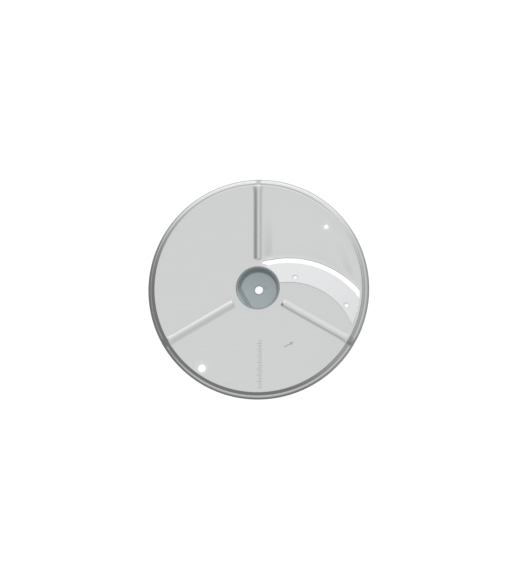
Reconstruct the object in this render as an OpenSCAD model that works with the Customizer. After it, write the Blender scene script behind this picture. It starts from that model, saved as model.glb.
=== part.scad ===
// Slicing disc of a food processor: a pressed steel plate with three radial
// ribs and a stepped rim, a curved blade behind a throat, and a moulded hub.
// Millimetres. +Z points up through the food side, and the origin is the
// centre of the flat face under the hub. The disc turns counter-clockwise
// when it is seen from above, so the blade's edge faces the throat.

/* [Disc] */
// Outside diameter of the disc
disc_d = 190; // [150:1:230]
// Thickness of the steel sheet
sheet_t = 1.2; // [0.8:0.1:1.6]
// Height of the plate's top face above the foot of the hub
plate_z = 26; // [20:0.5:34]

/* [Rim] */
// Width of the rim outside the plate, in plan
rim_w = 6.1; // [5:0.1:8]
// Width of the sloping shoulder, in plan
shoulder_w = 2.3; // [1.6:0.1:3]
// Drop of the shoulder from the plate to the ledge
shoulder_drop = 2.8; // [1.5:0.1:4]
// Drop across the ledge
ledge_drop = 0.5; // [0.1:0.1:1]
// Height of the skirt under the ledge
skirt_h = 2.7; // [2.2:0.1:5]
// Inside bend radius at the top of the shoulder
shoulder_bend = 0.3; // [0.2:0.1:0.6]
// Inside bend radius at the outer edge
edge_bend = 0.8; // [0.4:0.1:1]
// Bend radius of the hollow corner between the shoulder and the ledge
ledge_bend = 1; // [0.5:0.1:1.2]

/* [Ribs] */
// Height of the ribs above the plate
rib_h = 0.9; // [0.5:0.1:1.5]
// Width of a rib at the hub end
rib_w_in = 8; // [7.2:0.1:9]
// Width of a rib at the rim
rib_w_out = 9; // [7.2:0.1:10]
// Slope of the rib's flanks in plan, for the whole height
rib_flank = 3.4; // [0.8:0.1:3.5]
// Gap between the hub's collar and the rib's end
rib_gap = 3; // [2:0.1:6]
// Direction of the first rib
rib_angle = 90; // [0:1:119]

/* [Throat and blade] */
// Distance from the disc's axis to the centre of the blade's arcs
arc_off = 59.9; // [54:0.1:64]
// Direction of the centre of the blade's arcs
arc_dir = -64.7; // [-70:0.1:-60]
// Radius of the cutting edge
edge_arc_r = 75.5; // [70:0.1:80]
// Width of the blade, from cutting edge to back edge
blade_w = 16.6; // [13:0.1:20]
// Thickness of the blade at its back edge
blade_t = 1.5; // [1.2:0.1:2]
// Thickness left at the cutting edge
edge_t = 0.15; // [0.1:0.05:0.4]
// Width of the open throat ahead of the cutting edge, in plan
throat_gap = 4.5; // [4.2:0.1:7]
// Distance from the first rib's axis to the start of the throat
throat_start = 3.6; // [2:0.1:6]
// Width of the plate's seat under the blade's back
seat_w = 7.6; // [6.5:0.1:9]
// Depth of the ramp at the throat, which sets the slice
ramp_drop = 1.2; // [0.6:0.1:2]
// Length of the ramp ahead of the throat
ramp_run = 42; // [30:1:48]
// Steel left between the throat and the rim's shoulder or the next rib
throat_land = 1.6; // [1:0.1:3]
// Distance from the end of the throat, and from the rib, to the side of the ramp
ramp_land = 0.8; // [0.5:0.1:3]

/* [Rivets] */
// Bore of the hollow rivets
rivet_bore = 3; // [2:0.1:3.2]
// Wall of the hollow rivets
rivet_wall = 0.5; // [0.4:0.05:0.8]
// Width of the rivet's flange around its shank
rivet_lip = 0.6; // [0.4:0.1:0.9]
// Thickness of the rivet's flange
rivet_head_t = 0.35; // [0.25:0.05:0.6]
// Distance from the disc's axis to the inner rivet
rivet_in_r = 33.2; // [29:0.1:40]
// Distance from the outer rivet to the disc's edge
rivet_out_edge = 17.6; // [14:0.1:24]

// Place of the rivets across the seat, as a share of its width
rivet_share = 0.58; // [0.52:0.01:0.6]

/* [Holes] */
// Diameter of the large hole in the plate
big_hole_d = 7; // [4:0.1:9]
// Distance from the large hole to the disc's edge
big_hole_edge = 11.6; // [11:0.1:16]
// Direction of the large hole
big_hole_dir = 235; // [225:1:315]
// Diameter of the small hole in the plate
small_hole_d = 4.2; // [2:0.1:6]
// Distance from the small hole to the disc's edge
small_hole_edge = 16.2; // [11:0.1:24]
// Direction of the small hole
small_hole_dir = 41.8; // [35:0.1:60]

/* [Hub] */
// Inside diameter of the plate's collar around the hub
collar_d = 36.8; // [32:0.1:38]
// Height of the collar, under the plate's top face
collar_h = 5.5; // [4:0.1:8]
// Inside bend radius of the collar's lip
lip_bend = 0.4; // [0.2:0.1:0.8]
// Depth of the cup, from the plate's top face to the cup's floor
cup_depth = 12; // [9:0.1:14]
// Wall of the cup at its rim
rim_wall = 1.7; // [1.4:0.1:2.5]
// Taper of the cup, from its rim to its floor, on the radius
cup_draft = 1.2; // [0.4:0.1:2.5]
// Depth of the cup's rim below the plate's top face
rim_sink = 0.7; // [0.2:0.1:1.5]
// Thickness of the web under the cup's floor
web_t = 3; // [2:0.1:5]
// Wall of the hub outside the collar
jacket_t = 1.5; // [1.2:0.1:1.7]
// Wall of the hub's lower boss round the drive bush
boss_wall = 5.5; // [3:0.1:6.5]
// How far the flat cuts into the cup's floor
flat_cut = 3; // [1:0.1:5]
// Lean of the cup's flat away from upright, in degrees
flat_lean = 18; // [8:1:22]
// Direction of the flat in the cup and of the keyway in the drive socket
flat_dir = 210; // [0:1:359]
// Diameter of the hole through the hub's web
centre_d = 7; // [5:0.1:9]
// Height of the raised ring around the centre hole
ring_h = 0.4; // [0.2:0.1:1]
// Clearance between the collar and the hub
collar_gap = 0.1; // [0.05:0.05:0.2]

/* [Drive] */
// Diameter of the drive socket
socket_d = 16; // [12:0.1:18]
// Width of the keyway in the drive socket
key_w = 4; // [2:0.1:6]
// Depth of the keyway, from the socket's wall
key_cut = 1.7; // [0.6:0.1:2]
// Wall of the drive bush
bush_wall = 3.5; // [2:0.1:4]
// Lead-in chamfer at the mouth of the drive socket
lead_in = 0.8; // [0.3:0.1:1.5]
// Clearance between the bush and the hub
bush_gap = 0.05; // [0.02:0.01:0.1]

/* [Hidden] */
$fn = 96;
// Steps in each small bend, and a length that overruns any cut
bend_steps = 6;
over = 1;
reach = 400;
tiny = 0.01;

steel = "#cdcfcf";
blade_steel = "#e6e8ea";
plastic = "#9fa8aa";
bush_steel = "#b4b6b6";

disc_r = disc_d / 2;
collar_r = collar_d / 2;
lip_r = sheet_t + lip_bend;
shoulder_r = disc_r - rim_w;
ledge_r = shoulder_r + shoulder_w;
rim_drop = shoulder_drop + ledge_drop + skirt_h;
back_arc_r = edge_arc_r - blade_w;
seat_arc_r = back_arc_r + seat_w;
throat_arc_r = edge_arc_r + throat_gap;
throat_out_r = shoulder_r - throat_land;
hub_top_r = collar_r + sheet_t + collar_gap + jacket_t;
throat_in_r = hub_top_r + collar_gap;
blade_in_r = collar_r + lip_r / 2;
rib_in_r = hub_top_r + rib_gap;
rib_angles = [for (i = [0:2]) rib_angle + 120 * i];
floor_r = collar_r - collar_gap - rim_wall - cup_draft;
bush_r = socket_d / 2 + bush_wall;
boss_r = bush_r + bush_gap + boss_wall;
socket_depth = plate_z - cup_depth - web_t;
arc_centre = arc_off * [cos(arc_dir), sin(arc_dir)];
// Clearance of the rivets in the holes of the blade and its seat
rivet_gap = 0.05;
// Gap between the blade's outer end and the end of the throat
blade_gap = 0.3;
// Chamfers at the blade's back, the cup's rim, the cup's floor and the foot
back_chamfer = 0.3;
rim_chamfer = 0.3;
floor_chamfer = 0.8;
foot_chamfer = 1;
// Fall of the cup's rim towards the cup
rim_slope = 1;
// Straight part of the hub's outside below the foot of the collar
jacket_foot = 2;
// Top width of the ring round the centre hole, and its flank in plan
ring_w = 0.8;
ring_flank = 0.4;
// How far joined shapes run into each other
bite = 0.2;
rivet_r = rivet_bore / 2 + rivet_wall;
rivet_head_r = rivet_r + rivet_lip;
rivet_arc_r = back_arc_r + rivet_share * seat_w;
// The blade's top face falls from its back edge to its cutting edge
blade_fall = (blade_t - edge_t) / blade_w;
spot_z = blade_t - blade_fall * (rivet_arc_r + rivet_head_r - back_arc_r) - rivet_head_t;

// Direction, from the disc's axis, of the point at radius r on the arc of
// radius arc_r, by the law of cosines.
function arc_angle(arc_r, r) =
    arc_dir + acos((r * r + arc_off * arc_off - arc_r * arc_r) / (2 * r * arc_off));
function on_arc(arc_r, r) = r * [cos(arc_angle(arc_r, r)), sin(arc_angle(arc_r, r))];
function unit(v) = v / norm(v);

// Points of the bend of radius rad at corner b between a and c.
function bend(a, b, c, rad) =
    let (u = unit(a - b), v = unit(c - b), half = acos(u * v) / 2)
    let (cut = rad / tan(half), o = b + unit(u + v) * rad / sin(half))
    let (p = b + u * cut - o, q = b + v * cut - o, full = acos(unit(p) * unit(q)))
    [for (i = [0:bend_steps]) o + (sin(full * (1 - i / bend_steps)) * p
        + sin(full * i / bend_steps) * q) / sin(full)];

// Points of a line whose inner corners [r, z, rad] are bent.
function bent_line(p) = [
    [p[0].x, p[0].y],
    for (i = [1:len(p) - 2])
        each bend([p[i - 1].x, p[i - 1].y], [p[i].x, p[i].y], [p[i + 1].x, p[i + 1].y], p[i].z),
    [p[len(p) - 1].x, p[len(p) - 1].y]
];

// The same line moved square to itself by d.
function moved_line(p, d) = [
    for (i = [0:len(p) - 1])
        let (t = unit(p[min(i + 1, len(p) - 1)] - p[max(i - 1, 0)]))
        p[i] + d * [-t.y, t.x]
];

// Top line of the sheet, from the foot of the collar to the foot of the skirt,
// with its radius and its height above the plate.
sheet_top = bent_line([
    [collar_r, -collar_h, 0],
    [collar_r, 0, lip_r],
    [shoulder_r, 0, sheet_t + shoulder_bend],
    [ledge_r, -shoulder_drop, ledge_bend],
    [disc_r, -shoulder_drop - ledge_drop, sheet_t + edge_bend],
    [disc_r, -rim_drop, 0]
]);

// Half-plane of points whose distance from the axis along dir is below d.
module side_of(dir, d) {
    rotate(dir)
        translate([d - reach, -reach / 2])
            square([reach, reach]);
}

// Crescent between two arcs, from radius r_in to r_out, on the blade's side of
// the first rib and short of the third rib.
module crescent(arc_in, arc_out, r_in, r_out) {
    intersection() {
        difference() {
            translate(arc_centre)
                circle(r = arc_out, $fn = 240);
            translate(arc_centre)
                circle(r = arc_in, $fn = 240);
        }
        difference() {
            circle(r = r_out, $fn = 240);
            circle(r = r_in, $fn = 180);
        }
        side_of(rib_angle + 90, -throat_start);
        side_of(rib_angle + 150, -rib_w_out / 2 - throat_land);
    }
}

// One flank of a rib along +X: the space on the rib's side of that flank.
module rib_flank_side(foot, spread) {
    translate([rib_in_r, foot, 0])
        rotate([90, 0, 90 + spread])
            translate([0, 0, -disc_r])
                linear_extrude(3 * disc_r)
                    polygon([[-disc_d, -over], [0, -over], [0, 0], [-rib_flank, rib_h],
                        [-disc_d, rib_h]]);
}

// A rib's upper skin along +X; shrink takes that much off each flank.
module rib_skin(shrink) {
    spread = atan((rib_w_out - rib_w_in) / 2 / (shoulder_r - rib_in_r));
    foot = rib_w_in / 2 - shrink;
    intersection() {
        rib_flank_side(foot, spread);
        mirror([0, 1, 0])
            rib_flank_side(foot, spread);
        // crest, which ends in a gusset down to the ledge
        translate([0, disc_r, 0])
            rotate([90, 0, 0])
                linear_extrude(disc_d)
                    polygon([
                        [rib_in_r, -over],
                        [rib_in_r, 0],
                        [rib_in_r + rib_h, rib_h],
                        [shoulder_r - rib_h, rib_h],
                        [ledge_r + 1, -shoulder_drop - ledge_drop],
                        [ledge_r, -shoulder_drop - over],
                        [shoulder_r - over, -over]
                    ]);
    }
}

module all_ribs(shrink) {
    for (a = rib_angles)
        rotate([0, 0, a])
            rib_skin(shrink);
}

// Outline of the ramp ahead of the throat; inset keeps its walls.
module ramp_outline(inset) {
    difference() {
        intersection() {
            circle(r = throat_out_r - ramp_land - inset, $fn = 240);
            translate(arc_centre)
                circle(r = throat_arc_r + ramp_run, $fn = 240);
            side_of(rib_angle + 90, -rib_w_out / 2 - ramp_land - inset);
            side_of(rib_angle - 210, 0);
        }
        circle(r = hub_top_r + rib_gap + inset, $fn = 180);
        translate(arc_centre)
            circle(r = throat_arc_r - over, $fn = 240);
    }
}

// Space above the ramp's cone about the centre of the arcs, moved by dz.
module ramp_cone(dz) {
    translate([arc_centre.x, arc_centre.y, dz])
        rotate_extrude($fn = 240)
            polygon([
                [0, -ramp_drop],
                [throat_arc_r, -ramp_drop],
                [throat_arc_r + ramp_run, 0],
                [throat_arc_r + ramp_run, 3 * over],
                [0, 3 * over]
            ]);
}

module disc_plate() {
    under = moved_line(sheet_top, -sheet_t);
    color(steel)
        translate([0, 0, plate_z])
            difference() {
                union() {
                    rotate_extrude($fn = 240)
                        polygon(concat(sheet_top, [for (i = [len(under) - 1:-1:0]) under[i]]));
                    all_ribs(0);
                    // steel pushed down for the ramp
                    translate([0, 0, -sheet_t - ramp_drop])
                        linear_extrude(ramp_drop + sheet_t / 2)
                            ramp_outline(0);
                }
                // the ramp's top face
                intersection() {
                    ramp_cone(0);
                    translate([0, 0, -ramp_drop - over])
                        linear_extrude(ramp_drop + 3 * over)
                            ramp_outline(0);
                }
                // the hollow under the ramp
                difference() {
                    translate([0, 0, -sheet_t - ramp_drop - over])
                        linear_extrude(ramp_drop + over)
                            ramp_outline(sheet_t);
                    ramp_cone(-sheet_t);
                }
                // the grooves under the ribs
                translate([0, 0, -sheet_t])
                    intersection() {
                        all_ribs(sheet_t / 3);
                        translate([0, 0, -over / 2])
                            cylinder(r = shoulder_r - 2 * sheet_t, h = 2 * over + rib_h);
                    }
                // the throat
                translate([0, 0, -sheet_t - ramp_drop - over])
                    linear_extrude(sheet_t + ramp_drop + rib_h + 2 * over)
                        crescent(seat_arc_r, throat_arc_r, throat_in_r, throat_out_r);
                // the round holes
                plate_hole(big_hole_d, disc_r - big_hole_edge, big_hole_dir);
                plate_hole(small_hole_d, disc_r - small_hole_edge, small_hole_dir);
                for (p = [rivet_in_place(), rivet_out_place()])
                    translate([p.x, p.y, -2 * sheet_t])
                        cylinder(r = rivet_r + rivet_gap, h = 3 * sheet_t);
            }
}

module plate_hole(d, r, dir) {
    translate([r * cos(dir), r * sin(dir), -sheet_t - ramp_drop - over])
        cylinder(d = d, h = sheet_t + ramp_drop + 2 * over);
}

function rivet_in_place() = on_arc(rivet_arc_r, rivet_in_r);
function rivet_out_place() = on_arc(rivet_arc_r, disc_r - rivet_out_edge);

module slicing_blade() {
    color(blade_steel)
        translate([0, 0, plate_z])
            difference() {
                intersection() {
                    translate(arc_centre)
                        rotate_extrude($fn = 240)
                            polygon([
                                [back_arc_r, 0],
                                [edge_arc_r, 0],
                                [edge_arc_r, edge_t],
                                [back_arc_r + back_chamfer,
                                    blade_t - back_chamfer * blade_fall],
                                [back_arc_r, blade_t - back_chamfer]
                            ]);
                    translate([0, 0, -over])
                        linear_extrude(blade_t + 2 * over)
                            crescent(back_arc_r - over, edge_arc_r + over, blade_in_r,
                                throat_out_r - blade_gap);
                }
                for (p = [rivet_in_place(), rivet_out_place()])
                    translate([p.x, p.y, 0]) {
                        translate([0, 0, -over])
                            cylinder(r = rivet_r + rivet_gap, h = blade_t + 2 * over);
                        translate([0, 0, spot_z])
                            cylinder(r = rivet_head_r + rivet_gap, h = blade_t);
                    }
            }
}

// Hollow rivet whose top flange lies in the blade's spot face.
module rivet(p) {
    bore_r = rivet_bore / 2;
    foot = -sheet_t - rivet_head_t;
    color(blade_steel)
        translate([p.x, p.y, plate_z])
            rotate_extrude()
                polygon([
                    [bore_r, foot],
                    [rivet_head_r, foot],
                    [rivet_head_r, -sheet_t],
                    [rivet_r, -sheet_t],
                    [rivet_r, spot_z],
                    [rivet_head_r, spot_z],
                    [rivet_head_r, spot_z + rivet_head_t],
                    [bore_r, spot_z + rivet_head_t]
                ]);
}

module blade_rivet_inner() {
    rivet(rivet_in_place());
}

module blade_rivet_outer() {
    rivet(rivet_out_place());
}

module hub_body() {
    floor_z = plate_z - cup_depth;
    rim_z = plate_z - rim_sink;
    inside_r = collar_r - collar_gap;
    outside_r = collar_r + sheet_t + collar_gap;
    slot_z = plate_z - collar_h - collar_gap;
    top_z = plate_z - sheet_t - collar_gap;
    wall_r = inside_r - rim_wall;
    color(plastic)
        rotate_extrude($fn = 180)
            polygon([
                [centre_d / 2, floor_z - web_t],
                [centre_d / 2, floor_z + ring_h],
                [centre_d / 2 + ring_w, floor_z + ring_h],
                [centre_d / 2 + ring_w + ring_flank, floor_z],
                [floor_r - floor_chamfer, floor_z],
                [floor_r, floor_z + floor_chamfer],
                [wall_r, rim_z - rim_slope],
                [inside_r - rim_chamfer, rim_z],
                [inside_r, rim_z - rim_chamfer],
                [inside_r, slot_z],
                [outside_r, slot_z],
                [outside_r, top_z - lip_bend - bite],
                [outside_r + lip_bend + bite, top_z],
                [hub_top_r, top_z],
                [hub_top_r, slot_z - jacket_foot],
                [boss_r, floor_z - web_t / 2],
                [boss_r, foot_chamfer],
                [boss_r - foot_chamfer, 0],
                [bush_r + bush_gap, 0],
                [bush_r + bush_gap, socket_depth + bush_gap],
                [centre_d / 2, socket_depth + bush_gap]
            ]);
    // the flat in the cup, on the same side as the keyway of the drive
    color(plastic)
        intersection() {
            translate([0, 0, floor_z - web_t / 2])
                cylinder(r1 = floor_r + bite, r2 = wall_r + bite,
                    h = rim_z - rim_slope - floor_z + web_t / 2);
            rotate([0, 0, flat_dir])
                translate([floor_r - flat_cut, -collar_r, floor_z])
                    rotate([0, flat_lean, 0])
                        translate([0, 0, -over])
                            cube([collar_r, collar_d, cup_depth * 2]);
        }
}

// Steel bush: a round bore with a keyway along it, and a lead-in at its mouth.
module drive_bush() {
    color(bush_steel)
        difference() {
            cylinder(r = bush_r, h = socket_depth);
            translate([0, 0, -over])
                cylinder(d = socket_d, h = socket_depth + 2 * over);
            rotate([0, 0, flat_dir])
                translate([0, -key_w / 2, -over])
                    cube([socket_d / 2 + key_cut, key_w, socket_depth + 2 * over]);
            translate([0, 0, -tiny])
                cylinder(d1 = socket_d + 2 * lead_in, d2 = socket_d, h = lead_in);
        }
}

disc_plate();
slicing_blade();
blade_rivet_inner();
blade_rivet_outer();
hub_body();
drive_bush();
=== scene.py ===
import math
import bpy
import numpy as np
from mathutils import Matrix, Vector


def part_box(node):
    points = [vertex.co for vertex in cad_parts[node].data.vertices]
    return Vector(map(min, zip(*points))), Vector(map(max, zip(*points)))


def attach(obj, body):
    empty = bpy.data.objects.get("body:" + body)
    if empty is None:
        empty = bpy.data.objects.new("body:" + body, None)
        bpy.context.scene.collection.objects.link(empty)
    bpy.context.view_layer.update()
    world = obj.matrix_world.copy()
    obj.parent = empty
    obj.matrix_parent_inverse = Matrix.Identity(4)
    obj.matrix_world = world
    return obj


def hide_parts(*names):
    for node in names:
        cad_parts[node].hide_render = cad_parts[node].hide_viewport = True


# Slicing disc of a food processor. Shapes are worked out in millimetres in
# the frame's axes and stored in metres. The disc's axis is the z axis.
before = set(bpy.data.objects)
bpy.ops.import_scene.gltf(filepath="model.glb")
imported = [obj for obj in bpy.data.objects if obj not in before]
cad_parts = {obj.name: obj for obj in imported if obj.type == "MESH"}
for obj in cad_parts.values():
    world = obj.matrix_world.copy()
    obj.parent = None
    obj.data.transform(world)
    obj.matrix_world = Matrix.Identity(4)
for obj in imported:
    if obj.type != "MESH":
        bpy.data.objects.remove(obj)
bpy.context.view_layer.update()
mm = 0.001


def boxOf(node):
    low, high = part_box(node)
    return np.array(low) / mm, np.array(high) / mm


# ---- camera, floor and light ----
cameraPlan = {
    "target": (1.5, -1.7, 26.0),  # what the middle of the view looks at
    "lean": (4.5, 7.5),           # degrees off straight down, to +x and to -y
    "distance": 1600.0,
    "shownWidth": 443.4,          # width of the view at that distance
    "sensor": 36.0,
    "sightEnd": 20.0,             # in metres
}
floorPlan = {"size": 6000.0, "below": 0.3, "tone": 0.12, "glow": 0.99}
keyPlan = {
    "place": (60.0, 300.0, 1500.0),
    "aim": (0.0, 0.0, 20.0),
    "size": (360.0, 360.0),
    "power": 10.0,
}


def makeCamera(plan):
    # The camera's axes are worked out from its lean, so that +y stays up in the view.
    leanX, leanY = (math.radians(a) for a in plan["lean"])
    back = Vector((math.tan(leanX), -math.tan(leanY), 1.0)).normalized()
    right = Vector((0.0, 1.0, 0.0)).cross(back).normalized()
    up = back.cross(right)
    data = bpy.data.cameras.new("camera")
    data.sensor_fit = "HORIZONTAL"
    data.sensor_width = plan["sensor"]
    data.lens = plan["sensor"] * plan["distance"] / plan["shownWidth"]
    data.clip_end = plan["sightEnd"]
    camera = bpy.data.objects.new("camera", data)
    bpy.context.scene.collection.objects.link(camera)
    place = Vector(plan["target"]) + back * plan["distance"]
    camera.matrix_world = Matrix((
        (right.x, up.x, back.x, place.x * mm),
        (right.y, up.y, back.y, place.y * mm),
        (right.z, up.z, back.z, place.z * mm),
        (0.0, 0.0, 0.0, 1.0),
    ))
    bpy.context.scene.camera = camera


def put(tree, kind, settings=None, sockets=None):
    # Adds a node; a socket's value is a plain value or another node's output.
    made = tree.nodes.new(kind)
    for key, value in (settings or {}).items():
        setattr(made, key, value)
    for key, value in (sockets or {}).items():
        if isinstance(value, bpy.types.NodeSocket):
            tree.links.new(value, made.inputs[key])
        else:
            made.inputs[key].default_value = value
    return made


def calc(tree, way, a, b=0.0, c=0.0):
    # One step of arithmetic on up to three values.
    return put(tree, "ShaderNodeMath", {"operation": way}, {0: a, 1: b, 2: c}).outputs[0]


def ease(tree, value, low, high, outLow=0.0, outHigh=1.0):
    # Smooth step of value from low to high.
    made = put(tree, "ShaderNodeMapRange", {"interpolation_type": "SMOOTHSTEP"},
        {"Value": value, "From Min": low, "From Max": high, "To Min": outLow, "To Max": outHigh})
    return made.outputs["Result"]


def mixed(tree, share, a, b):
    # From a to b as share goes from 0 to 1.
    made = put(tree, "ShaderNodeMix", {"data_type": "FLOAT"})
    for index, value in ((0, share), (2, a), (3, b)):
        if isinstance(value, bpy.types.NodeSocket):
            tree.links.new(value, made.inputs[index])
        else:
            made.inputs[index].default_value = value
    return made.outputs[0]


studioPlan = {
    "overhead": 0.87,             # brightness straight above
    "toBack": (0.2, 0.80),        # beyond this y it grows this fast
    "toFront": 0.28,              # how fast it falls towards -y
    "toRight": 0.20,              # how fast it falls towards +x
    "lamp": (-0.12, 0.05, 0.14, 0.22),  # soft lamp: direction x and y, spread, brightness
    "backWall": 1.50,             # on the +y side
    "frontWall": 0.25,            # on the -y side
    "leftWall": 0.24,             # on the -x side
    "rightWall": 0.50,            # on the +x side
    "lowBack": 0.75,              # near the horizon on the +y side
    "lowAround": 0.26,            # near the horizon elsewhere
    "strip": (-0.17, 0.12, 0.55),  # strip of light on the +x side: height, spread, brightness
    # shares of the compass direction over which one wall gives way to the next
    "leftToRight": (-0.75, 0.3),
    "frontToSides": (-0.9, -0.1),
    "sidesToBack": (0.5, 0.95),
    "lowToBack": (0.15, 1.0),
    "stripToRight": (0.3, 0.8),
    "higherToLeft": (0.75, 0.95),
    # heights, where 1 is straight up
    "lowTop": (-0.05, 0.35),      # over these the horizon gives way to the walls
    "wallTop": (0.35, 0.92),      # and the walls to the overhead light
    "leftWallTop": (0.82, 0.99),  # the same on the -x side, where the wall stands higher
    "seen": 0.99,                 # the backdrop as the camera sees it
    "scattered": 0.4,             # share that lights matt surfaces; the key light does the rest
}


def bell(tree, *pairs):
    # exp(-sum of (distance / spread) squared) over pairs of distance and spread.
    total = 0.0
    for distance, spread in pairs:
        part = calc(tree, "DIVIDE", distance, spread)
        total = calc(tree, "MULTIPLY_ADD", part, part, total)
    return calc(tree, "EXPONENT", calc(tree, "MULTIPLY", total, -1.0))


def makeStudio(plan):
    # Brightness by direction: four walls blended by the compass direction, the
    # horizon below them, and the overhead light that takes over with height.
    world = bpy.data.worlds.new("studio")
    bpy.context.scene.world = world
    world.use_nodes = True
    tree = world.node_tree
    tree.nodes.clear()
    way = put(tree, "ShaderNodeTexCoord").outputs["Generated"]
    parts = put(tree, "ShaderNodeSeparateXYZ", None, {0: way})
    x, y, z = (parts.outputs[i] for i in range(3))
    tiny = 0.0001  # keeps the length above zero straight up
    flat = calc(tree, "SQRT", calc(tree, "ADD", calc(tree, "MULTIPLY", x, x),
        calc(tree, "MULTIPLY_ADD", y, y, tiny)))
    east = calc(tree, "DIVIDE", x, flat)
    north = calc(tree, "DIVIDE", y, flat)
    toRight = ease(tree, east, *plan["leftToRight"])
    side = mixed(tree, toRight, plan["leftWall"], plan["rightWall"])
    front = mixed(tree, ease(tree, north, *plan["frontToSides"]), plan["frontWall"], side)
    walls = mixed(tree, ease(tree, north, *plan["sidesToBack"]), front, plan["backWall"])
    toBack = ease(tree, north, *plan["lowToBack"])
    low = mixed(tree, toBack, plan["lowAround"], plan["lowBack"])
    stripZ, stripSpread, stripLight = plan["strip"]
    strip = bell(tree, (calc(tree, "SUBTRACT", z, stripZ), stripSpread))
    strip = calc(tree, "MULTIPLY", strip, stripLight)
    low = calc(tree, "MULTIPLY_ADD", ease(tree, east, *plan["stripToRight"]), strip, low)
    walls = mixed(tree, ease(tree, z, *plan["lowTop"]), low, walls)
    backStart, backSlope = plan["toBack"]
    back = calc(tree, "MAXIMUM", calc(tree, "SUBTRACT", y, backStart), 0.0)
    overhead = calc(tree, "MULTIPLY_ADD", back, backSlope, plan["overhead"])
    front = calc(tree, "MINIMUM", y, 0.0)
    overhead = calc(tree, "MULTIPLY_ADD", front, plan["toFront"], overhead)
    right = calc(tree, "MAXIMUM", x, 0.0)
    overhead = calc(tree, "MULTIPLY_ADD", right, -plan["toRight"], overhead)
    lampX, lampY, lampSpread, lampLight = plan["lamp"]
    offX, offY = calc(tree, "SUBTRACT", x, lampX), calc(tree, "SUBTRACT", y, lampY)
    lamp = bell(tree, (offX, lampSpread), (offY, lampSpread))
    overhead = calc(tree, "MULTIPLY_ADD", lamp, lampLight, overhead)
    west = ease(tree, calc(tree, "MULTIPLY", east, -1.0), *plan["higherToLeft"])
    start, end = (mixed(tree, west, plan["wallTop"][k], plan["leftWallTop"][k]) for k in (0, 1))
    light = mixed(tree, ease(tree, z, start, end), walls, overhead)
    path = put(tree, "ShaderNodeLightPath")
    share = mixed(tree, path.outputs["Is Diffuse Ray"], 1.0, plan["scattered"])
    light = calc(tree, "MULTIPLY", light, share)
    shown = mixed(tree, path.outputs["Is Camera Ray"], light, plan["seen"])
    glow = put(tree, "ShaderNodeBackground", None, {"Strength": shown})
    glow.inputs["Color"].default_value = (1.0, 1.0, 1.0, 1.0)
    out = put(tree, "ShaderNodeOutputWorld")
    tree.links.new(glow.outputs[0], out.inputs["Surface"])


def addAreaLight(name, plan):
    place, aim = Vector(plan["place"]), Vector(plan["aim"])
    data = bpy.data.lights.new(name, "AREA")
    data.shape = "RECTANGLE"
    data.size, data.size_y = (side * mm for side in plan["size"])
    data.energy = plan["power"]
    light = bpy.data.objects.new(name, data)
    bpy.context.scene.collection.objects.link(light)
    light.location = place * mm
    light.rotation_euler = (aim - place).to_track_quat("-Z", "Y").to_euler()
    # the steel reflects the studio, not this lamp
    light.visible_glossy = False


def makeFloor(plan, under):
    half = plan["size"] / 2
    z = under - plan["below"]
    corners = np.array([[-half, -half, z], [half, -half, z], [half, half, z], [-half, half, z]])
    mesh = bpy.data.meshes.new("floor")
    mesh.from_pydata((corners * mm).tolist(), [], [(0, 1, 2, 3)])
    floor = bpy.data.objects.new("floor", mesh)
    bpy.context.scene.collection.objects.link(floor)
    paper = bpy.data.materials.new("whitePaper")
    paper.use_nodes = True
    shader = paper.node_tree.nodes["Principled BSDF"]
    tone = plan["tone"]
    shader.inputs["Base Color"].default_value = (tone, tone, tone, 1.0)
    shader.inputs["Roughness"].default_value = 1.0
    shader.inputs["Specular IOR Level"].default_value = 0.0
    shader.inputs["Emission Color"].default_value = (1.0, 1.0, 1.0, 1.0)
    shader.inputs["Emission Strength"].default_value = plan["glow"]
    mesh.materials.append(paper)
    # the paper's own shine stays out of the steel
    floor.visible_diffuse = False
    floor.visible_glossy = False
    floor.visible_shadow = False


bpy.context.scene.view_settings.view_transform = "Standard"
makeCamera(cameraPlan)
makeStudio(studioPlan)
addAreaLight("keyPanel", keyPlan)
makeFloor(floorPlan, boxOf("hub_body")[0][2])
print("stage: camera, studio and floor")


# ---- shared shapes ----
def smoothStep(t):
    # 3 t squared - 2 t cubed, from 0 to 1.
    t = np.clip(t, 0.0, 1.0)
    return t * t * (3.0 - 2.0 * t)


def softLess(a, b, k):
    # The smaller of a and b, with the change-over rounded over about k.
    return 0.5 * (a + b - np.sqrt((a - b) ** 2 + k * k))


def softMore(a, b, k):
    # The larger of the two, rounded the same way.
    return 0.5 * (a + b + np.sqrt((a - b) ** 2 + k * k))


def bentLine(corners, steps=6):
    # Straight legs joined by arcs. Each inner corner (u, v, bend) is cut back by
    # bend / tan(half angle), and the arc is swept from one cut to the other.
    c = np.array(corners, float)
    pieces = [c[:1, :2]]
    for before, here, after in zip(c[:-2], c[1:-1], c[2:]):
        u = (before[:2] - here[:2]) / np.linalg.norm(before[:2] - here[:2])
        v = (after[:2] - here[:2]) / np.linalg.norm(after[:2] - here[:2])
        if here[2] == 0:
            pieces.append(here[None, :2])
            continue
        half = math.acos(float(u @ v)) / 2
        cut = here[2] / math.tan(half)
        middle = here[:2] + (u + v) / np.linalg.norm(u + v) * here[2] / math.sin(half)
        p, q = here[:2] + u * cut - middle, here[:2] + v * cut - middle
        full = math.pi - 2 * half
        t = np.linspace(0, 1, steps + 1)[:, None]
        pieces.append(middle + (np.sin(full * (1 - t)) * p + np.sin(full * t) * q) / math.sin(full))
    pieces.append(c[-1:, :2])
    return np.concatenate(pieces)


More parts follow.
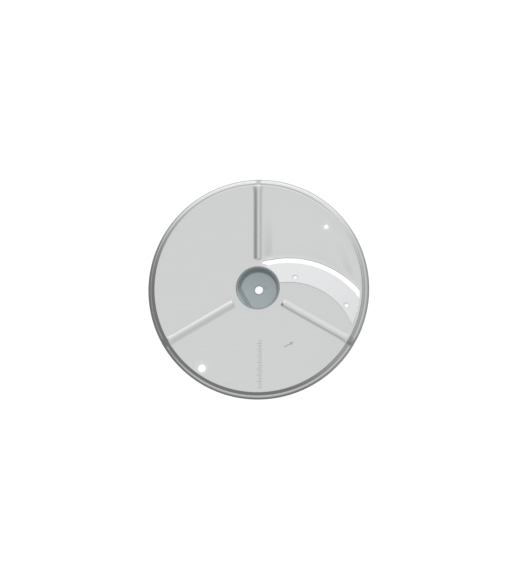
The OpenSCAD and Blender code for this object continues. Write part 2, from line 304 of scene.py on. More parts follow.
def finerLine(line, longest):
    # The same line with its long legs cut into equal steps.
    parts = []
    for a, b in zip(line[:-1], line[1:]):
        count = max(1, int(math.ceil(np.linalg.norm(b - a) / longest)))
        parts.append(a + (b - a) * np.linspace(0, 1, count, endpoint=False)[:, None])
    return np.concatenate(parts + [line[-1:]])


def gridTriangles(rows, columns, joined):
    # Two triangles for each cell of a grid; joined closes it in the column direction.
    cells = columns if joined else columns - 1
    i, j = np.meshgrid(np.arange(rows - 1), np.arange(cells), indexing="ij")
    k = (j + 1) % columns
    a, b, c, d = i * columns + j, (i + 1) * columns + j, (i + 1) * columns + k, i * columns + k
    halves = [np.stack([a, b, c], -1), np.stack([a, c, d], -1)]
    return np.concatenate([half.reshape(-1, 3) for half in halves])


def pointNormals(points, faces):
    # Mean of the face normals round each point, weighted by area.
    a, b, c = points[faces[:, 0]], points[faces[:, 1]], points[faces[:, 2]]
    n = np.cross(b - a, c - a)
    total = np.zeros_like(points)
    for k in range(3):
        np.add.at(total, faces[:, k], n)
    return total / np.maximum(np.linalg.norm(total, axis=1), 1e-12)[:, None]


def cutOut(flat, faces, distance):
    # Cuts holes in a triangle net: distance is above zero in the material. Of each
    # edge that crosses a hole's outline, the nearer end moves onto the outline along
    # the slope of the distance, and the triangles inside the holes are dropped.
    d = distance(flat)
    edges = np.concatenate([faces[:, [0, 1]], faces[:, [1, 2]], faces[:, [2, 0]]])
    cross = edges[d[edges[:, 0]] * d[edges[:, 1]] < 0]
    first, second = cross[:, 0], cross[:, 1]
    near = np.unique(np.where(np.abs(d[first]) < np.abs(d[second]), first, second))
    flat = flat.copy()
    step, leastSlope, tries = 0.01, 0.05, 6
    for _ in range(tries):
        p = flat[near]
        slope = np.stack([
            distance(p + [step, 0]) - distance(p - [step, 0]),
            distance(p + [0, step]) - distance(p - [0, step])], -1) / (2 * step)
        steep = np.maximum((slope ** 2).sum(1), leastSlope)
        flat[near] = p - slope * (distance(p) / steep)[:, None]
    d[near] = 0.0
    middle = distance(flat[faces].mean(1))
    low, high = d[faces].min(1), d[faces].max(1)
    keep = np.where(high > 0, low >= 0, (low == 0) & (middle > 0))
    return flat, faces[keep]


def addMesh(name, points, faces, smoothAngle=38.0, values=None):
    # Puts arrays into a mesh, drops unused points and sets smooth shading up to an angle.
    used = np.zeros(len(points), bool)
    used[np.unique(faces)] = True
    order = np.cumsum(used) - 1
    mesh = bpy.data.meshes.new(name)
    mesh.from_pydata((points[used] * mm).tolist(), [], order[faces].tolist())
    for key, numbers in (values or {}).items():
        layer = mesh.attributes.new(key, "FLOAT", "POINT")
        layer.data.foreach_set("value", numbers[used].astype(np.float32))
    mesh.polygons.foreach_set("use_smooth", np.ones(len(mesh.polygons), bool))
    mesh.set_sharp_from_angle(angle=math.radians(smoothAngle))
    mesh.validate()
    piece = bpy.data.objects.new(name, mesh)
    bpy.context.scene.collection.objects.link(piece)
    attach(piece, "root")
    return piece


def closedSheet(top, faces, normals, thick, edge):
    # Closes an open net into a sheet. The underside is the net moved down its
    # normals by thick, and each free edge gets a wall with a chamfer of edge above
    # and below, so the net's outline is drawn back by edge.
    n = len(top)
    thick = np.broadcast_to(thick, (n,))
    edge = np.broadcast_to(edge, (n,))
    bottom = top - normals * thick[:, None]
    sides = np.concatenate([faces[:, [0, 1]], faces[:, [1, 2]], faces[:, [2, 0]]])
    key, back = sides[:, 0] * n + sides[:, 1], sides[:, 1] * n + sides[:, 0]
    free = sides[~np.isin(back, key)]
    a, b = free[:, 0], free[:, 1]
    out = np.cross(top[b] - top[a], normals[a] + normals[b])
    out /= np.maximum(np.linalg.norm(out, axis=1), 1e-12)[:, None]
    away = np.zeros_like(top)
    np.add.at(away, a, out)
    np.add.at(away, b, out)
    away /= np.maximum(np.linalg.norm(away, axis=1), 1e-12)[:, None]
    rim = np.unique(free)
    place = np.zeros(n, int)
    place[rim] = np.arange(len(rim))
    step = edge[rim][:, None]
    upper = top[rim] + away[rim] * step - normals[rim] * step
    lower = bottom[rim] + away[rim] * step + normals[rim] * step
    a1, b1 = 2 * n + place[a], 2 * n + place[b]
    a2, b2 = a1 + len(rim), b1 + len(rim)
    walls = [
        np.stack([b, a, a1], -1), np.stack([b, a1, b1], -1),
        np.stack([b1, a1, a2], -1), np.stack([b1, a2, b2], -1),
        np.stack([b2, a2, a + n], -1), np.stack([b2, a + n, b + n], -1)]
    points = np.concatenate([top, bottom, upper, lower])
    return points, np.concatenate([faces, faces[:, ::-1] + n] + walls), rim


def turnedRing(line, angles, shape=None):
    # Turns a closed outline about the z axis; shape may move the points first.
    r = np.broadcast_to(line[:, :1], (len(line), len(angles))).copy()
    z = np.broadcast_to(line[:, 1:], r.shape).copy()
    turn = np.broadcast_to(angles[None, :], r.shape)
    if shape:
        r, z = shape(r, z, turn)
    points = np.stack([r * np.cos(turn), r * np.sin(turn), z], -1).reshape(-1, 3)
    rows, columns = r.shape
    i, j = np.meshgrid(np.arange(rows), np.arange(columns), indexing="ij")
    i1, j1 = (i + 1) % rows, (j + 1) % columns
    a, b, c, d = i * columns + j, i1 * columns + j, i1 * columns + j1, i * columns + j1
    halves = [np.stack([a, d, c], -1), np.stack([a, c, b], -1)]
    return points, np.concatenate([half.reshape(-1, 3) for half in halves])


def allRound(count):
    # Even directions all the way round, without the last one twice.
    return np.linspace(0, 2 * math.pi, count, endpoint=False)


# ---- plate ----
plateLow, plateHigh = boxOf("disc_plate")
ribRise = 0.9
discPlan = {
    "outR": plateHigh[0],
    "topZ": plateHigh[2] - ribRise,
    "thick": 1.2,
    "edge": 0.12,
    "collarR": 18.4,
    "collarDeep": 5.5,
    "lipBend": 0.5,
    "rimWide": 5.8,
    "shoulderWide": 2.4,
    "shoulderDrop": 2.8,
    "shoulderBend": 0.9,
    "ledgeDrop": 0.5,
    "ledgeBend": 1.3,
    "edgeBend": 2.8,
    "rowStep": 0.85,           # longest step between two rings
    "between": 110,            # columns between two ribs
    "wearWide": 1.2,           # how far the rubbed steel reaches from a hole
}
ribPlan = {
    "rise": ribRise,
    "startR": 24.2,            # where it starts, and over what length it rises
    "startRun": 1.6,
    "trailing": (-4.1, -0.9),  # foot and top of the steeper flank, across the rib
    "leading": (4.6, -0.9),    # foot and top of the gentler flank
    "gusset": (0.2, 2.2),      # it falls from this far inside the shoulder to this far past it
    "crestSoft": 0.4,
    "flare": 0.25,             # how much wider it gets where it meets the shoulder
    "flareStart": 83.0,
    "flareRun": 6.0,
    "turns": (90.0, 210.0, 330.0),
    "aside": (0.0, 0.9, -0.1),  # how far each rib is off its radius, counter-clockwise
    "columns": (-6.0, -5.0, -4.3, -3.7, -3.2, -2.75, -2.3, -1.85, -1.4, -0.95, -0.5, 0.0,
        0.5, 1.0, 1.5, 2.0, 2.5, 3.0, 3.5, 4.0, 4.6, 5.3, 6.2, 7.4),
}
throatPlan = {
    "arcAway": 59.9,           # the blade's and the throat's arcs have one middle, this far off
    "arcWay": -64.7,           # and in this direction
    "edgeArc": 75.5,           # radius of the cutting edge
    "bladeWide": 16.6,
    "gap": 4.5,                # from the cutting edge to the throat's lip
    "seat": 7.6,               # width of steel under the blade
    "inR": 21.3, "outR": 87.3,
    "start": 3.6,              # the throat begins at this x
    "cornerRound": 0.6,
    "rampDrop": 1.2, "rampRun": 42.0, "rampSoft": 2.0,
    "lipRun": 4.5, "lipTilt": 5.0, "lipSoft": 1.0,
    "behind": 1.5,             # the ramp goes on this far under the throat's edge
    # the ramp eases in over these lengths from the ribs, the outer circle and the hub
    "ribOff": 0.2, "ribEase": 9.0,
    "outOff": 0.8, "outEase": 14.0,
    "hubEase": 5.0,
    "thirdRibSide": (0.5, 0.87), "thirdRibEase": 8.0,
}
rivetPlan = {
    "bore": 1.5, "wall": 0.5, "lip": 0.6,
    "headThick": 0.35, "headBend": 0.06,
    "roll": 0.35,              # share of the head's thickness that is rolled into the bore
    "play": 0.03,
    "inR": 33.2, "outR": 77.4,  # how far each rivet is from the axis
    "share": 0.58,             # where it stands across the seat
    "columns": 48, "seam": 0.01,
}
# round holes: distance from the axis, direction and radius
holePlan = {"big": (83.4, 235.0, 3.5), "small": (78.8, 41.8, 2.1)}
dimplePlan = {"off": (-4.2, 4.6), "spread": (3.4, 2.2), "deep": 0.20}
arcWay = math.radians(throatPlan["arcWay"])
arcMiddle = throatPlan["arcAway"] * np.array([math.cos(arcWay), math.sin(arcWay)])
backArc = throatPlan["edgeArc"] - throatPlan["bladeWide"]
seatArc = backArc + throatPlan["seat"]
throatArc = throatPlan["edgeArc"] + throatPlan["gap"]


def onArc(arcR, r):
    # Point at r from the disc's axis on the arc of radius arcR, by the law of cosines.
    away = throatPlan["arcAway"]
    turn = arcWay + math.acos((r * r + away * away - arcR * arcR) / (2 * r * away))
    return np.array([r * math.cos(turn), r * math.sin(turn)])


rivetArc = backArc + rivetPlan["share"] * throatPlan["seat"]
rivetPlaces = [onArc(rivetArc, rivetPlan["inR"]), onArc(rivetArc, rivetPlan["outR"])]


def ribWiden(r):
    # How much wider than its plain section a rib is at r.
    p = ribPlan
    return 1.0 + p["flare"] * smoothStep((r - p["flareStart"]) / p["flareRun"])


def plateRise(x, y, base):
    # Height of the sheet's top above the plate: the ribs, which run over the shoulder
    # as gussets, then the ramp with its lip, and the dimple beside the small hole.
    p, t = ribPlan, throatPlan
    shoulderR = discPlan["outR"] - discPlan["rimWide"]
    ledgeR = shoulderR + discPlan["shoulderWide"]
    foot = -discPlan["shoulderDrop"] - discPlan["ledgeDrop"]
    r = np.hypot(x, y)
    z = base.copy()
    for turn, aside in zip(p["turns"], p["aside"]):
        a = math.radians(turn)
        along = x * math.cos(a) + y * math.sin(a)
        across = y * math.cos(a) - x * math.sin(a)
        fall = (r - shoulderR + p["gusset"][0]) / (ledgeR - shoulderR + sum(p["gusset"]))
        crest = softLess(p["rise"], p["rise"] + (foot - p["rise"]) * fall, p["crestSoft"])
        place = (across - aside) / ribWiden(r)
        body = 1.0
        for flankFoot, flankTop in (p["trailing"], p["leading"]):
            body = body * smoothStep((place - flankFoot) / (flankTop - flankFoot))
        ends = smoothStep((along - p["startR"]) / p["startRun"])
        z += np.maximum(crest - base, 0.0) * body * ends
    reach = np.hypot(x - arcMiddle[0], y - arcMiddle[1])
    slope = t["rampDrop"] / t["rampRun"]
    ahead = throatArc + t["rampRun"] - reach
    ramp = -slope * softMore(ahead, 0.0, t["rampSoft"])
    lip = t["lipRun"] - (reach - throatArc)
    ramp += (slope + math.tan(math.radians(t["lipTilt"]))) * softMore(lip, 0.0, t["lipSoft"])
    where = smoothStep((x + p["trailing"][0] - t["ribOff"]) / t["ribEase"])
    where = where * smoothStep((t["outR"] - t["outOff"] - r) / t["outEase"])
    where = where * smoothStep((r - p["startR"]) / t["hubEase"])
    sideX, sideY = t["thirdRibSide"]
    where = where * smoothStep((sideX * x + sideY * y) / t["thirdRibEase"])
    where = where * (reach > throatArc - t["behind"])
    z += ramp * where
    holeR, holeTurn = holePlan["small"][0], math.radians(holePlan["small"][1])
    (offX, offY), (wideX, wideY) = dimplePlan["off"], dimplePlan["spread"]
    u = x - holeR * math.cos(holeTurn) - offX
    v = y - holeR * math.sin(holeTurn) - offY
    onFlat = base > -0.01  # not on the bends
    z -= dimplePlan["deep"] * np.exp(-(u / wideX) ** 2 - (v / wideY) ** 2) * onFlat
    return z


def plateHoles(p):
    # Distance to the nearest hole's edge, above zero in the steel: the throat is
    # what lies between two arcs and two circles, and the other holes are round.
    t = throatPlan
    x, y = p[:, 0], p[:, 1]
    r, reach = np.hypot(x, y), np.hypot(x - arcMiddle[0], y - arcMiddle[1])
    k = t["cornerRound"]
    throat = softMore(reach - throatArc, seatArc - reach, k)
    throat = softMore(throat, softMore(t["inR"] - r, r - t["outR"], k), k)
    d = np.maximum(throat, t["start"] - x)
    for holeR, turn, size in holePlan.values():
        a = math.radians(turn)
        d = np.minimum(d, np.hypot(x - holeR * math.cos(a), y - holeR * math.sin(a)) - size)
    size = rivetPlan["bore"] + rivetPlan["wall"] + rivetPlan["play"]
    for place in rivetPlaces:
        d = np.minimum(d, np.hypot(x - place[0], y - place[1]) - size)
    return d - discPlan["edge"]


def makePlate():
    # A grid of rings and columns: the rings follow the sheet's bent outline, and the
    # columns follow the flanks of the ribs and are even between them.
    p = discPlan
    shoulderR = p["outR"] - p["rimWide"]
    rimDrop = p["topZ"] - plateLow[2]
    line = bentLine([
        [p["collarR"], -p["collarDeep"] + p["edge"], 0],
        [p["collarR"], 0, p["lipBend"]],
        [shoulderR, 0, p["shoulderBend"]],
        [shoulderR + p["shoulderWide"], -p["shoulderDrop"], p["ledgeBend"]],
        [p["outR"], -p["shoulderDrop"] - p["ledgeDrop"], p["edgeBend"]],
        [p["outR"], -rimDrop + p["edge"], 0]])
    line = finerLine(line, p["rowStep"])
    r, base = line[:, :1], line[:, 1:]
    ribTurn = np.arcsin(np.array(ribPlan["columns"])[None, :] * ribWiden(r) / r)
    start = ribTurn[:, -1:]
    end = math.radians(360 / len(ribPlan["turns"])) + ribTurn[:, :1]
    even = np.linspace(0, 1, p["between"] + 2)[None, 1:-1]
    sector = np.concatenate([ribTurn, start + even * (end - start)], 1)
    turn = np.concatenate([sector + math.radians(a) for a in ribPlan["turns"]], 1)
    flat = np.stack([r * np.cos(turn), r * np.sin(turn)], -1).reshape(-1, 2)
    base = np.broadcast_to(base, turn.shape).reshape(-1)
    faces = gridTriangles(turn.shape[0], turn.shape[1], True)
    flat, kept = cutOut(flat, faces, plateHoles)
    top = np.column_stack([flat, plateRise(flat[:, 0], flat[:, 1], base)])
    normals = pointNormals(top, faces)
    top[:, 2] += p["topZ"]
    wear = np.exp(-np.maximum(plateHoles(flat), 0.0) / p["wearWide"])
    points, allFaces, rim = closedSheet(top, kept, normals, p["thick"], p["edge"])
    wear = np.concatenate([wear, wear, np.ones(2 * len(rim))])
    piece = addMesh("plate", points, allFaces, values={"wear": wear})
    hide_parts("disc_plate")
    return piece


# ---- blade and rivets ----
bladePlan = {
    "thick": 1.5, "edgeThick": 0.15,
    "inR": 19.2, "outR": 87.0,
    "keen": 0.05,              # how far the cutting edge is drawn back
    "chamfer": 0.08,
    "chamferShare": 0.35,      # the chamfer is at most this share of the blade's height
    "holeEdge": 0.03,
    "nearHole": 0.02,          # points this near a hole get the hole's chamfer
    "across": 34, "along": 190,
}


def bladeHeight(reach):
    # The top face falls evenly from the back edge to the cutting edge.
    t = (reach - backArc) / throatPlan["bladeWide"]
    return bladePlan["thick"] + (bladePlan["edgeThick"] - bladePlan["thick"]) * t


def makeBlade():
    # A grid between the two arcs; each arc runs from the inner circle to the outer one.
    p, away = bladePlan, throatPlan["arcAway"]
    t = np.linspace(0, 1, p["across"] + 1)[:, None]
    backEdge, frontEdge = backArc + p["chamfer"], throatPlan["edgeArc"] - p["keen"]
    reach = backEdge + (frontEdge - backEdge) * t

    def turnAt(r):
        # Direction from the arcs' middle to the circle of radius r, by the law of cosines.
        back = math.radians(throatPlan["arcWay"] + 180)
        return back - np.arccos((reach ** 2 + away ** 2 - r * r) / (2 * reach * away))

    start, end = turnAt(p["inR"] + p["chamfer"]), turnAt(p["outR"] - p["chamfer"])
    turn = end + (start - end) * np.linspace(0, 1, p["along"] + 1)[None, :]
    flatX, flatY = arcMiddle[0] + reach * np.cos(turn), arcMiddle[1] + reach * np.sin(turn)
    flat = np.stack([flatX, flatY], -1).reshape(-1, 2)
    faces = gridTriangles(turn.shape[0], turn.shape[1], False)

    def holes(q):
        # Distance to the nearest rivet's hole, above zero in the steel.
        d = np.full(len(q), np.inf)
        size = rivetPlan["bore"] + rivetPlan["wall"] + rivetPlan["lip"] + rivetPlan["play"]
        for place in rivetPlaces:
            d = np.minimum(d, np.hypot(q[:, 0] - place[0], q[:, 1] - place[1]) - size)
        return d - p["holeEdge"]

    flat, kept = cutOut(flat, faces, holes)
    reach = np.hypot(flat[:, 0] - arcMiddle[0], flat[:, 1] - arcMiddle[1])
    height = bladeHeight(reach)
    top = np.column_stack([flat, height])
    up = np.zeros_like(top)
    up[:, 2] = 1.0
    top[:, 2] += discPlan["topZ"]
    edge = np.minimum(p["chamfer"], p["chamferShare"] * height)
    edge = np.where(np.abs(holes(flat)) < p["nearHole"], p["holeEdge"], edge)
    points, allFaces, _ = closedSheet(top, kept, up, height, edge)
    piece = addMesh("blade", points, allFaces)
    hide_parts("slicing_blade")
    return piece


def makeRivet(name, node, place):
    # Hollow rivet: a tube with a flange at each end, turned from one outline.
    p = rivetPlan
    shank, head = p["bore"] + p["wall"], p["bore"] + p["wall"] + p["lip"]
    low, high = boxOf(node)
    foot, topZ = low[2], high[2]
    middle, bend = (foot + topZ) / 2, p["headBend"]
    roll = p["headThick"] * p["roll"]
    line = bentLine([
        [p["bore"], middle, 0],
        [p["bore"], foot, roll],
        [head, foot, bend],
        [head, foot + p["headThick"], bend],
        [shank, foot + p["headThick"], 0.0],
        [shank, topZ - p["headThick"], 0.0],
        [head, topZ - p["headThick"], bend],
        [head, topZ, bend],
        [p["bore"], topZ, roll],
        [p["bore"], middle + p["seam"], 0]], 4)
    points, faces = turnedRing(line, allRound(p["columns"]))
    points[:, :2] += place
    piece = addMesh(name, points, faces)
    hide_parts(node)
    return piece


# ---- hub and drive bush ----
hubLow, hubHigh = boxOf("hub_body")
bushLow, bushHigh = boxOf("drive_bush")
hubPlan = {
    "floorZ": 14.0, "floorR": 15.4, "webThick": 3.0,
    "rimZ": hubHigh[2], "rimWall": 0.95, "rimSlope": 0.6, "rimChamfer": 0.25,
    "insideR": 18.3, "outsideR": 19.7, "slotZ": 20.4, "topZ": 24.7,
    "collarRound": 0.6,        # cut that clears the collar's lip
    "jacketR": hubHigh[0], "jacketUnder": 2.0,
    "bossR": 17.05, "holeR": 3.5,
    "ringHigh": 0.4, "ringWide": 0.8, "ringFlank": 0.4,
    "flatCut": 3.0, "flatLean": 18.0, "flatWay": 210.0,  # depth, lean and direction of the flat
    "soft": 0.25,              # how softly the flat meets the round wall
    "nub": (6.3, 18.0, 1.5, 1.1),  # distance, direction, size and height of the floor's nub
    "cupBend": 0.5, "cupStep": 0.5,
    "columns": 192,
}
bushPlan = {
    "socketR": 8.0, "keyWide": 4.0, "keyDeep": 1.7, "leadIn": 0.8,
    "play": 0.05,
    "edgeBend": 0.4,
    "keySharp": 0.0005,        # turn between the two columns at each side of the keyway
    "columns": 160, "seam": 0.05,
}


def flatLimit(r, way, turn, distance, soft):
    # Radius limited by a flat: distance / cos of the angle from the flat's direction.
    leastCos = 0.05  # beyond a right angle the flat limits nothing
    c = np.maximum(np.cos(turn - math.radians(way)), leastCos)
    return softLess(r, distance / c, soft)


def makeHub():
    # The hub's outline is turned, and its cup is drawn in by the flat: the floor is
    # scaled to its limit in each direction, and the wall is held behind the leaning flat.
    # The third number of each corner is its bend.
    p = hubPlan
    bushR, bushTop = bushHigh[0] + bushPlan["play"], bushHigh[2] + bushPlan["play"]
    ringR = p["holeR"] + p["ringWide"] + p["ringFlank"]
    wallR = p["insideR"] - p["rimWall"]
    rimR = p["insideR"] - p["rimChamfer"]
    cup = finerLine(bentLine([
        [ringR + 0.2, p["floorZ"], 0],
        [p["floorR"], p["floorZ"], p["cupBend"]],
        [wallR, p["rimZ"] - p["rimSlope"], p["cupBend"]],
        [rimR, p["rimZ"], 0.0]], 5), p["cupStep"])
    rest = bentLine([
        [rimR, p["rimZ"], 0],
        [p["insideR"], p["rimZ"] - p["rimChamfer"], 0.0],
        [p["insideR"], p["slotZ"], 0.0],
        [p["outsideR"], p["slotZ"], 0.0],
        [p["outsideR"], p["topZ"] - p["collarRound"], 0.0],
        [p["outsideR"] + p["collarRound"], p["topZ"], 0.0],
        [p["jacketR"], p["topZ"], 0.3],
        [p["jacketR"], p["slotZ"] - p["jacketUnder"], 0.8],
        [p["bossR"], p["floorZ"] - p["webThick"] / 2, 3.0],
        [p["bossR"], hubLow[2], 1.0],
        [bushR, hubLow[2], 0.3],
        [bushR, bushTop, 0.0],
        [p["holeR"], bushTop, 0.2],
        [p["holeR"], p["floorZ"] + p["ringHigh"], 0.15],
        [p["holeR"] + p["ringWide"], p["floorZ"] + p["ringHigh"], 0.2],
        [ringR, p["floorZ"], 0.2],
        [ringR + 0.1, p["floorZ"], 0]], 4)
    line = np.concatenate([cup, rest[1:]])[::-1]
    inCup = np.arange(len(line))[:, None] >= len(line) - len(cup)
    flatR = p["floorR"] - p["flatCut"]
    lean = math.tan(math.radians(p["flatLean"]))
    nubR, nubWay, nubSize, nubHigh = p["nub"]
    nubX, nubY = nubR * math.cos(math.radians(nubWay)), nubR * math.sin(math.radians(nubWay))

    def shape(r, z, turn):
        leaning = flatR + (z - p["floorZ"]) * lean
        limit = flatLimit(p["floorR"], p["flatWay"], turn, flatR, p["soft"])
        scaled = ringR + (r - ringR) * (limit - ringR) / (p["floorR"] - ringR)
        held = flatLimit(r, p["flatWay"], turn, leaning, p["soft"])
        onFloor = inCup & (r > ringR)
        level = np.abs(z - p["floorZ"]) < 1e-6
        new = np.where(onFloor & level, scaled, np.where(inCup, held, r))
        far = np.hypot(new * np.cos(turn) - nubX, new * np.sin(turn) - nubY)
        return new, z + nubHigh * np.exp(-(far / nubSize) ** 2) * onFloor

    points, faces = turnedRing(line, allRound(p["columns"]), shape)
    piece = addMesh("hub", points, faces)
    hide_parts("hub_body")
    return piece


def makeBush():
    # A tube with a lead-in at its mouth. The bore's points between the keyway's two
    # sides move out to its bottom, and a column of points stands on either side of each.
    p = bushPlan
    outR, low, high = bushHigh[0], bushLow[2], bushHigh[2]
    middle = (low + high) / 2
    line = bentLine([
        [outR, middle, 0],
        [outR, low, p["edgeBend"]],
        [p["socketR"] + p["leadIn"], low, 0.1],
        [p["socketR"], low + p["leadIn"], 0.3],
        [p["socketR"], high, 0.2],
        [outR, high, p["edgeBend"]],
        [outR, middle + p["seam"], 0]], 4)[::-1]
    way = math.radians(hubPlan["flatWay"])
    half = math.asin(p["keyWide"] / 2 / p["socketR"])
    steps = (-p["keySharp"], p["keySharp"])
    sides = [way + side * (half + step) for side in (-1, 1) for step in steps]
    angles = np.unique(np.concatenate([allRound(p["columns"]), sides]))
    points, faces = turnedRing(line, angles)
    r = np.hypot(points[:, 0], points[:, 1])
    turn = np.arctan2(points[:, 1], points[:, 0]) - way
    inBore = r < outR - 1.0
    inKey = inBore & (np.cos(turn) > math.cos(half))
    along = np.where(inKey, p["socketR"] + p["keyDeep"], r * np.cos(turn))
    across = np.where(inKey, p["socketR"], r) * np.sin(turn)
    points[:, 0] = along * math.cos(way) - across * math.sin(way)
    points[:, 1] = along * math.sin(way) + across * math.cos(way)
    piece = addMesh("bush", points, faces)
    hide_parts("drive_bush")
    return piece


plate = makePlate()
print("plate:", len(plate.data.polygons), "triangles")
blade = makeBlade()
rivets = [makeRivet("rivetNearHub", "blade_rivet_inner", rivetPlaces[0]),
    makeRivet("rivetNearRim", "blade_rivet_outer", rivetPlaces[1])]
print("blade and rivets:", len(blade.data.polygons), "triangles")
hub = makeHub()
bush = makeBush()
print("hub and bush:", len(hub.data.polygons), "triangles")


# ---- finishes ----
markPlan = {
    "scaleX": (-0.9, 3.4),      # the etched scale's sides
    "scaleY": (-85.5, -45.0),   # and its ends
    "scalePitch": 1.35,
    "shortBy": 1.6,             # how much shorter the lines between the fourth ones are
    "endRoom": 0.4,
    "stroke": 0.46,             # width of an etched line
    "arrowR": 55.5,             # the turning arrow is an arc about the axis
    "arrowTurn": (-66.0, -56.5),
    "arrowHead": (3.4, 1.7),    # length and half width of its head
    "soft": 0.12,               # softness of a line's sides
    "dark": 0.26,               # how much darker an etched line is
    "rough": 0.15,              # how much rougher
    "deep": 1.5,                # and how much lower, in the bump's own height
}


def between(tree, value, low, high, soft):
    # One between low and high, with soft sides.
    return calc(tree, "MULTIPLY", ease(tree, value, low - soft, low + soft),
        ease(tree, calc(tree, "MULTIPLY", value, -1.0), -high - soft, -high + soft))


def etchedMarks(tree, spot):
    # A plain graduated scale whose every fourth line is longer, and an arrow that
    # shows which way the disc turns, both as a share from 0 to 1.
    p = markPlan
    parts = put(tree, "ShaderNodeSeparateXYZ", None, {0: spot})
    x, y, z = (calc(tree, "MULTIPLY", parts.outputs[i], 1 / mm) for i in range(3))
    soft, half = p["soft"], p["stroke"] / 2
    steps = calc(tree, "DIVIDE", calc(tree, "SUBTRACT", y, p["scaleY"][0]), p["scalePitch"])
    off = calc(tree, "MULTIPLY", calc(tree, "PINGPONG", steps, 0.5), p["scalePitch"])
    line = ease(tree, calc(tree, "MULTIPLY", off, -1.0), -half - soft, -half + soft)
    fourth = calc(tree, "PINGPONG", steps, 2.0)
    left, right = p["scaleX"]
    length = ease(tree, fourth, 0.4, 0.6, left, left + p["shortBy"])
    tall = calc(tree, "MULTIPLY", ease(tree, calc(tree, "SUBTRACT", x, length), -soft, soft),
        ease(tree, calc(tree, "MULTIPLY", x, -1.0), -right - soft, -right + soft))
    low, high = p["scaleY"]
    scale = calc(tree, "MULTIPLY", calc(tree, "MULTIPLY", line, tall),
        between(tree, y, low - p["endRoom"], high + p["endRoom"], soft))
    r = calc(tree, "SQRT", calc(tree, "MULTIPLY_ADD", x, x, calc(tree, "MULTIPLY", y, y)))
    turn = calc(tree, "MULTIPLY", calc(tree, "ARCTAN2", y, x), 180 / math.pi)
    first, last = p["arrowTurn"]
    perDegree = p["arrowR"] * math.pi / 180
    along = calc(tree, "MULTIPLY", calc(tree, "SUBTRACT", turn, last), perDegree)
    off = calc(tree, "ABSOLUTE", calc(tree, "SUBTRACT", r, p["arrowR"]))
    start = (first - last) * p["arrowR"] * math.pi / 180
    headLong, headHalf = p["arrowHead"]
    shaft = calc(tree, "MULTIPLY", between(tree, along, start, -headLong, soft),
        ease(tree, calc(tree, "MULTIPLY", off, -1.0), -p["stroke"] - soft, -p["stroke"] + soft))
    taper = calc(tree, "MULTIPLY_ADD", calc(tree, "MULTIPLY", along, -1.0), headHalf / headLong,
        calc(tree, "MULTIPLY", off, -1.0))
    head = calc(tree, "MULTIPLY", between(tree, along, -headLong, 0.0, soft),
        ease(tree, taper, -soft, soft))
    marks = calc(tree, "MAXIMUM", scale, calc(tree, "MAXIMUM", shaft, head))
    onTop = ease(tree, z, discPlan["topZ"] - 0.5, discPlan["topZ"] - 0.3)
    return calc(tree, "MULTIPLY", marks, onTop)


steelPlan = {
    "grainScale": (60.0, 4200.0, 60.0),  # fine across the rolling direction, long along it
    "grainSpan": (0.3, 0.7),    # part of the noise's range that changes the roughness
    "driftScale": 14.0,
    "drift": (0.985, 1.015),    # darkest and lightest share of the colour
    "wearBright": 0.08,
    "wearSmooth": 0.05,
    "bumpDeep": 0.00005,
}
plasticPlan = {
    "colour": (0.47, 0.525, 0.54),
    "specular": 0.35,
    "fineScale": 2600.0,
    "rough": (0.5, 0.62),
    "driftScale": 90.0,
    "drift": (0.96, 1.04),
    "bump": 0.15,
    "bumpDeep": 0.0001,
}


def cloud(tree, spot, scale, detail):
    # Noise from about 0 to 1 at the given place.
    sockets = {"Vector": spot, "Scale": scale, "Detail": detail}
    return put(tree, "ShaderNodeTexNoise", None, sockets).outputs["Fac"]


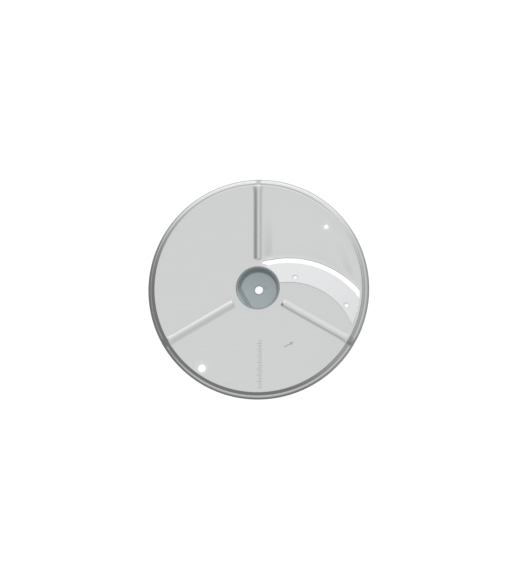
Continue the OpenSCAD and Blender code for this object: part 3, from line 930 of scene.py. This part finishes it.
def steelFinish(name, colour, rough, grain, uneven=0.03, marked=False):
    # Satin steel: rolled grain along x in the bump and the roughness, a slow drift of
    # colour, steel rubbed brighter round the holes, and the etched marks where asked for.
    p = steelPlan
    finish = bpy.data.materials.new(name)
    finish.use_nodes = True
    tree = finish.node_tree
    shader = tree.nodes["Principled BSDF"]
    shader.inputs["Metallic"].default_value = 1.0
    spot = put(tree, "ShaderNodeTexCoord").outputs["Object"]
    drawn = put(tree, "ShaderNodeMapping", None, {"Vector": spot})
    drawn.inputs["Scale"].default_value = p["grainScale"]
    fine = cloud(tree, drawn.outputs[0], 1.0, 3.0)
    slow = cloud(tree, spot, p["driftScale"], 2.0)
    wear = put(tree, "ShaderNodeAttribute", {"attribute_name": "wear"}).outputs["Fac"]
    shine = mixed(tree, slow, *p["drift"])
    shine = calc(tree, "MULTIPLY_ADD", wear, p["wearBright"], shine)
    roughness = ease(tree, fine, *p["grainSpan"], rough - uneven, rough + uneven)
    roughness = calc(tree, "MULTIPLY_ADD", wear, -p["wearSmooth"], roughness)
    height = fine
    if marked:
        marks = etchedMarks(tree, spot)
        shine = calc(tree, "MULTIPLY_ADD", marks, -markPlan["dark"], shine)
        roughness = calc(tree, "MULTIPLY_ADD", marks, markPlan["rough"], roughness)
        height = calc(tree, "MULTIPLY_ADD", marks, -markPlan["deep"], height)
    tone = put(tree, "ShaderNodeVectorMath", {"operation": "SCALE"}, {"Scale": shine})
    tone.inputs[0].default_value = colour
    tree.links.new(tone.outputs[0], shader.inputs["Base Color"])
    tree.links.new(roughness, shader.inputs["Roughness"])
    bump = put(tree, "ShaderNodeBump", None,
        {"Strength": grain, "Distance": p["bumpDeep"], "Height": height})
    tree.links.new(bump.outputs[0], shader.inputs["Normal"])
    return finish


def plasticFinish():
    # Matt moulded plastic: a fine erosion texture and a slow drift of colour.
    p = plasticPlan
    finish = bpy.data.materials.new("hubPlastic")
    finish.use_nodes = True
    tree = finish.node_tree
    shader = tree.nodes["Principled BSDF"]
    shader.inputs["Specular IOR Level"].default_value = p["specular"]
    spot = put(tree, "ShaderNodeTexCoord").outputs["Object"]
    fine = cloud(tree, spot, p["fineScale"], 2.0)
    slow = cloud(tree, spot, p["driftScale"], 3.0)
    shine = mixed(tree, slow, *p["drift"])
    tone = put(tree, "ShaderNodeVectorMath", {"operation": "SCALE"}, {"Scale": shine})
    tone.inputs[0].default_value = p["colour"]
    tree.links.new(tone.outputs[0], shader.inputs["Base Color"])
    roughness = ease(tree, fine, *steelPlan["grainSpan"], *p["rough"])
    tree.links.new(roughness, shader.inputs["Roughness"])
    bump = put(tree, "ShaderNodeBump", None,
        {"Strength": p["bump"], "Distance": p["bumpDeep"], "Height": fine})
    tree.links.new(bump.outputs[0], shader.inputs["Normal"])
    return finish


# Blade and rivet steel, lighter than the plate's: partly a brighter polished steel, partly a
# painted reflection of the overhead light on the blade's top.
brightSteelWithPaintedSheen = (0.825, 0.83, 0.84)
plate.data.materials.append(
    steelFinish("plateSteel", (0.66, 0.665, 0.668), 0.24, 0.05, marked=True))
blade.data.materials.append(steelFinish("bladeSteel", brightSteelWithPaintedSheen, 0.27, 0.003, uneven=0.004))
for rivet in rivets:
    rivet.data.materials.append(
        steelFinish("rivetSteel", brightSteelWithPaintedSheen, 0.27, 0.008, uneven=0.01))
hub.data.materials.append(plasticFinish())
bush.data.materials.append(steelFinish("bushSteel", (0.50, 0.50, 0.50), 0.30, 0.08))
print("finishes: done")
